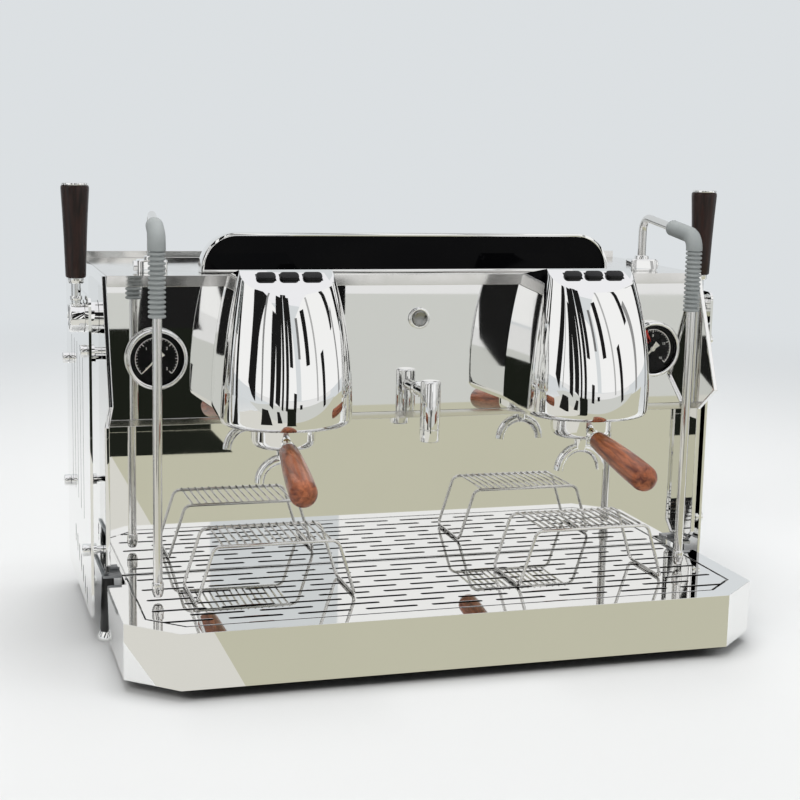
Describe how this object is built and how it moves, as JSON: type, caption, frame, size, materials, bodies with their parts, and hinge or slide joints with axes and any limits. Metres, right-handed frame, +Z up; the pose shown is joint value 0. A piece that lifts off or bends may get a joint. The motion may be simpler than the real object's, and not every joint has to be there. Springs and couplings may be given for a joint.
{
  "type": "two-group espresso machine",
  "caption": "Countertop espresso machine with bayonet filter holders, steam wands with side levers, gauges, brew keys, wire cup stands and a sliding drip tray.",
  "frame": {"origin": "middle of the overall plan at the level of the counter under the feet", "axes": "+X towards the right group, +Y towards the rear, +Z up"},
  "size_m": [0.797, 0.5336, 0.5118],
  "materials": {
    "black_foot": "satin",
    "black_gloss": "gloss",
    "black_key": "satin",
    "black_rubber": "matt",
    "boiler_steel": "brushed",
    "cast_metal": "machined",
    "dark_wood": "oiled",
    "dial_print": "printed",
    "grey_rubber": "matt",
    "lens_glass": "clear",
    "mirror_chrome": "mirror polished",
    "motor_paint": "satin",
    "pipe_copper": "bright",
    "pointer_white": "satin",
    "polished_steel": "polished",
    "red_wood": "oiled",
    "zinc_steel": "dull"
  },
  "bodies": {
    "machine": {"back_rail": "polished_steel", "base_frame": "zinc_steel", "brew_boilers": "boiler_steel", "control_box": "zinc_steel", "drain_cup": "black_foot", "foot_cones": "black_foot", "foot_cups": "mirror_chrome", "frame_posts": "zinc_steel", "gauge_cases": "mirror_chrome", "gauge_dials": "dial_print", "gauge_lenses": "lens_glass", "group_covers": "mirror_chrome", "group_gaskets": "black_rubber", "group_heads": "cast_metal", "hood_face": "black_gloss", "hood_rim": "mirror_chrome", "lower_back_panel": "mirror_chrome", "pipework": "pipe_copper", "power_switch": "mirror_chrome", "pump": "cast_metal", "pump_motor": "motor_paint", "rear_cover": "polished_steel", "rear_fittings": "cast_metal", "shower_screens": "polished_steel", "side_panels": "mirror_chrome", "side_trims": "mirror_chrome", "standoffs": "mirror_chrome", "steam_boiler": "boiler_steel", "steam_valves": "mirror_chrome", "top_cover": "polished_steel", "upper_back_panel": "mirror_chrome", "wand_fittings": "mirror_chrome", "water_spout": "mirror_chrome"},
    "drip_tray": {"drip_tray": "mirror_chrome"},
    "drip_grate": {"drip_grate": "polished_steel"},
    "power_button": {"power_button": "black_key"},
    "left_cup_stand": {"left_cup_stand": "mirror_chrome"},
    "left_portafilter": {"left_portafilter": "mirror_chrome", "left_filter_handle": "red_wood", "left_filter_basket": "polished_steel"},
    "left_steam_lever": {"left_steam_lever": "mirror_chrome", "left_lever_handle": "dark_wood"},
    "left_steam_wand": {"left_steam_wand": "mirror_chrome", "left_wand_grip": "grey_rubber"},
    "left_gauge_pointer": {"left_gauge_pointer": "pointer_white"},
    "left_first_key": {"left_first_key": "black_key"},
    "left_second_key": {"left_second_key": "black_key"},
    "left_third_key": {"left_third_key": "black_key"},
    "right_cup_stand": {"right_cup_stand": "mirror_chrome"},
    "right_portafilter": {"right_portafilter": "mirror_chrome", "right_filter_handle": "red_wood", "right_filter_basket": "polished_steel"},
    "right_steam_lever": {"right_steam_lever": "mirror_chrome", "right_lever_handle": "dark_wood"},
    "right_steam_wand": {"right_steam_wand": "mirror_chrome", "right_wand_grip": "grey_rubber"},
    "right_gauge_pointer": {"right_gauge_pointer": "pointer_white"},
    "right_first_key": {"right_first_key": "black_key"},
    "right_second_key": {"right_second_key": "black_key"},
    "right_third_key": {"right_third_key": "black_key"}
  },
  "joints": [
    {"name": "tray_slide", "type": "slide", "parent": "machine", "child": "drip_tray", "axis": [0, -1, 0], "range_m": [0, 0.12]},
    {"name": "grate_lift", "type": "slide", "parent": "drip_tray", "child": "drip_grate", "axis": [0, 0, 1], "range_m": [0, 0.0025]},
    {"name": "power_press", "type": "slide", "parent": "machine", "child": "power_button", "axis": [0, 1, 0], "range_m": [0, 0.002], "stiffness_N_per_m": 600, "springref_m": -0.0005},
    {"name": "left_stand_lift", "type": "slide", "parent": "drip_grate", "child": "left_cup_stand", "axis": [0, 0, 1], "range_m": [0, 0.045]},
    {"name": "left_portafilter_turn", "type": "hinge", "parent": "machine", "child": "left_portafilter", "pos_m": [-0.175, -0.085, 0.272], "axis": [0, 0, 1], "range_deg": [-45, 0]},
    {"name": "left_lever_turn", "type": "hinge", "parent": "machine", "child": "left_steam_lever", "pos_m": [-0.383, 0.041, 0.363], "axis": [1, 0, 0], "range_deg": [-20, 20]},
    {"name": "left_wand_turn", "type": "hinge", "parent": "machine", "child": "left_steam_wand", "pos_m": [-0.3, 0.037, 0.42], "axis": [0, 0, 1], "range_deg": [-45, 10]},
    {"name": "left_pointer_turn", "type": "hinge", "parent": "machine", "child": "left_gauge_pointer", "pos_m": [-0.3006, -0.004, 0.321], "axis": [0, 1, 0], "range_deg": [0, 270], "stiffness_Nm_per_rad": 0.002, "springref_deg": -17.19},
    {"name": "left_first_press", "type": "slide", "parent": "machine", "child": "left_first_key", "axis": [0, 0.5519, -0.8339], "range_m": [0, 0.0015], "stiffness_N_per_m": 600, "springref_m": -0.0005},
    {"name": "left_second_press", "type": "slide", "parent": "machine", "child": "left_second_key", "axis": [0, 0.5519, -0.8339], "range_m": [0, 0.0015], "stiffness_N_per_m": 600, "springref_m": -0.0005},
    {"name": "left_third_press", "type": "slide", "parent": "machine", "child": "left_third_key", "axis": [0, 0.5519, -0.8339], "range_m": [0, 0.0015], "stiffness_N_per_m": 600, "springref_m": -0.0005},
    {"name": "right_stand_lift", "type": "slide", "parent": "drip_grate", "child": "right_cup_stand", "axis": [0, 0, 1], "range_m": [0, 0.045]},
    {"name": "right_portafilter_turn", "type": "hinge", "parent": "machine", "child": "right_portafilter", "pos_m": [0.175, -0.085, 0.272], "axis": [0, 0, 1], "range_deg": [-45, 0]},
    {"name": "right_lever_turn", "type": "hinge", "parent": "machine", "child": "right_steam_lever", "pos_m": [0.383, 0.041, 0.363], "axis": [1, 0, 0], "range_deg": [-20, 20]},
    {"name": "right_wand_turn", "type": "hinge", "parent": "machine", "child": "right_steam_wand", "pos_m": [0.3, 0.037, 0.42], "axis": [0, 0, 1], "range_deg": [-5, 49]},
    {"name": "right_pointer_turn", "type": "hinge", "parent": "machine", "child": "right_gauge_pointer", "pos_m": [0.3006, -0.004, 0.321], "axis": [0, 1, 0], "range_deg": [0, 270], "stiffness_Nm_per_rad": 0.002, "springref_deg": -17.19},
    {"name": "right_first_press", "type": "slide", "parent": "machine", "child": "right_first_key", "axis": [0, 0.5519, -0.8339], "range_m": [0, 0.0015], "stiffness_N_per_m": 600, "springref_m": -0.0005},
    {"name": "right_second_press", "type": "slide", "parent": "machine", "child": "right_second_key", "axis": [0, 0.5519, -0.8339], "range_m": [0, 0.0015], "stiffness_N_per_m": 600, "springref_m": -0.0005},
    {"name": "right_third_press", "type": "slide", "parent": "machine", "child": "right_third_key", "axis": [0, 0.5519, -0.8339], "range_m": [0, 0.0015], "stiffness_N_per_m": 600, "springref_m": -0.0005}
  ]
}
